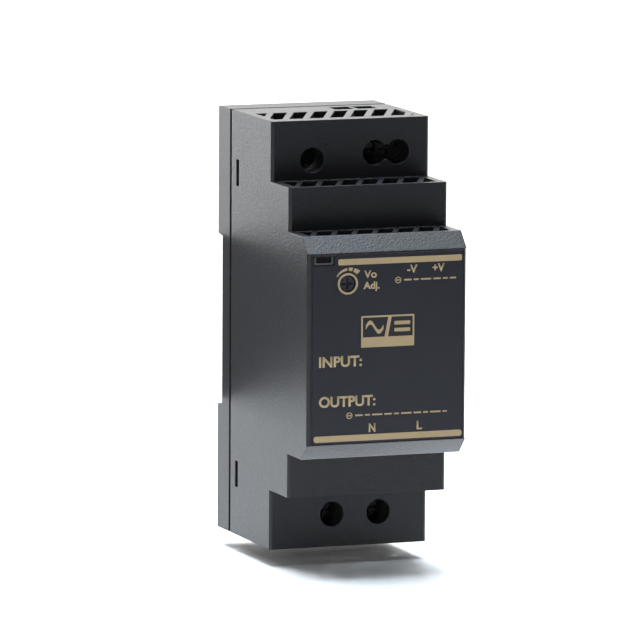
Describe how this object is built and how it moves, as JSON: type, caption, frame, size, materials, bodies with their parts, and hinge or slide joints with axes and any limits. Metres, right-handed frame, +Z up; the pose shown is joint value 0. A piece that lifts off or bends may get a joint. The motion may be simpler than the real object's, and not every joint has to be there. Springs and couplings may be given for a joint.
{
  "type": "din rail power supply",
  "caption": "Narrow stepped power supply that clips on a 35 mm top-hat rail, with screw terminals at both ends, a trimmer, a status light and a spring latch.",
  "frame": {"origin": "middle of the rail seat, on the floor that the rail's lips rest against", "axes": "+Z up, front faces -Y, +X right when seen from the front; the rail runs along X"},
  "size_m": [0.035, 0.0545, 0.09],
  "materials": {
    "housing_plastic": "fine spark-eroded grain",
    "cover_plastic": "fine spark-eroded grain",
    "latch_plastic": "moulded",
    "spring_steel": "bare spring strip",
    "label_print": "printed film",
    "window_red": "tinted clear insert",
    "circuit_board": "solder mask",
    "solder": "bright solder",
    "insulation_film": "film",
    "black_plastic": "moulded",
    "tinned_brass": "satin",
    "trimmer_blue": "moulded",
    "rotor_plastic": "moulded",
    "led_lens": "diffused",
    "terminal_plastic": "moulded",
    "zinc_steel": "zinc plated",
    "cage_brass": "satin",
    "fuse_case": "moulded",
    "varistor_coat": "dipped coating",
    "thermistor_coat": "dipped coating",
    "ferrite": "sintered",
    "copper_wire": "enamelled copper",
    "xcap_case": "moulded box",
    "bulk_sleeve": "shrink sleeve",
    "heatsink_metal": "milled",
    "winding_tape": "polyester tape",
    "opto_case": "moulded",
    "ycap_coat": "dipped coating",
    "output_sleeve": "shrink sleeve"
  },
  "bodies": {
    "chassis": {"front_housing": "housing_plastic", "rear_cover": "cover_plastic", "latch_spring": "spring_steel", "front_label": "label_print", "led_window": "window_red", "main_board": "circuit_board", "solder_joints": "solder", "insulation_sheet": "insulation_film", "control_board": "circuit_board", "header_spacer": "black_plastic", "header_contacts": "tinned_brass", "trimmer_body": "trimmer_blue", "status_led": "led_lens", "output_terminal_block": "terminal_plastic", "output_contacts": "tinned_brass", "input_terminal_block": "terminal_plastic", "input_contacts": "tinned_brass", "input_fuse": "fuse_case", "surge_varistor": "varistor_coat", "inrush_thermistor": "thermistor_coat", "filter_core": "ferrite", "filter_windings": "copper_wire", "x_capacitor": "xcap_case", "bridge_rectifier": "black_plastic", "bulk_capacitor": "bulk_sleeve", "primary_heatsink": "heatsink_metal", "switch_transistor": "black_plastic", "switch_screw": "zinc_steel", "controller_chip": "black_plastic", "transformer_core": "ferrite", "transformer_bobbin": "black_plastic", "transformer_winding": "copper_wire", "transformer_tape": "winding_tape", "optocoupler": "opto_case", "y_capacitor": "ycap_coat", "output_heatsink": "heatsink_metal", "output_rectifier": "black_plastic", "rectifier_screw": "zinc_steel", "output_capacitors": "output_sleeve", "output_choke_core": "ferrite", "output_choke_winding": "copper_wire"},
    "rail_latch": {"rail_latch": "latch_plastic"},
    "trimmer_rotor": {"trimmer_rotor": "rotor_plastic"},
    "output_screw_negative": {"output_screw_negative": "zinc_steel"},
    "output_screw_positive": {"output_screw_positive": "zinc_steel"},
    "output_cage_negative": {"output_cage_negative": "cage_brass"},
    "output_cage_positive": {"output_cage_positive": "cage_brass"},
    "input_screw_neutral": {"input_screw_neutral": "zinc_steel"},
    "input_screw_line": {"input_screw_line": "zinc_steel"},
    "input_cage_neutral": {"input_cage_neutral": "cage_brass"},
    "input_cage_line": {"input_cage_line": "cage_brass"}
  },
  "joints": [
    {"name": "latch_slide", "type": "slide", "parent": "chassis", "child": "rail_latch", "axis": [0, 0, -1], "range_m": [0, 0.0035], "stiffness_N_per_m": 500, "springref_m": -0.004, "deforming": ["latch_spring"]},
    {"name": "trimmer_turn", "type": "hinge", "parent": "chassis", "child": "trimmer_rotor", "pos_m": [-0.0087, -0.0485, 0.0135], "axis": [0, -1, 0], "range_deg": [-135, 135]},
    {"name": "output_cage_negative_lift", "type": "slide", "parent": "chassis", "child": "output_cage_negative", "axis": [0, -1, 0], "range_m": [0, 0.0025]},
    {"name": "output_screw_negative_turn", "type": "hinge", "parent": "chassis", "child": "output_screw_negative", "pos_m": [0.0054, -0.021, 0.0378], "axis": [0, 1, 0], "range_deg": [0, 1800.5]},
    {"name": "output_cage_positive_lift", "type": "slide", "parent": "chassis", "child": "output_cage_positive", "axis": [0, -1, 0], "range_m": [0, 0.0025]},
    {"name": "output_screw_positive_turn", "type": "hinge", "parent": "chassis", "child": "output_screw_positive", "pos_m": [0.01048, -0.021, 0.0378], "axis": [0, 1, 0], "range_deg": [0, 1800.5]},
    {"name": "input_cage_neutral_lift", "type": "slide", "parent": "chassis", "child": "input_cage_neutral", "axis": [0, -1, 0], "range_m": [0, 0.0025]},
    {"name": "input_screw_neutral_turn", "type": "hinge", "parent": "chassis", "child": "input_screw_neutral", "pos_m": [-0.0037, -0.021, -0.0381], "axis": [0, 1, 0], "range_deg": [0, 1800.5]},
    {"name": "input_cage_line_lift", "type": "slide", "parent": "chassis", "child": "input_cage_line", "axis": [0, -1, 0], "range_m": [0, 0.0025]},
    {"name": "input_screw_line_turn", "type": "hinge", "parent": "chassis", "child": "input_screw_line", "pos_m": [0.00665, -0.021, -0.0381], "axis": [0, 1, 0], "range_deg": [0, 1800.5]}
  ],
  "couplings": [
    {"joint": "output_screw_negative_turn", "follows": "output_cage_negative_lift", "rad_per_m": 12566},
    {"joint": "output_screw_positive_turn", "follows": "output_cage_positive_lift", "rad_per_m": 12566},
    {"joint": "input_screw_neutral_turn", "follows": "input_cage_neutral_lift", "rad_per_m": 12566},
    {"joint": "input_screw_line_turn", "follows": "input_cage_line_lift", "rad_per_m": 12566}
  ]
}
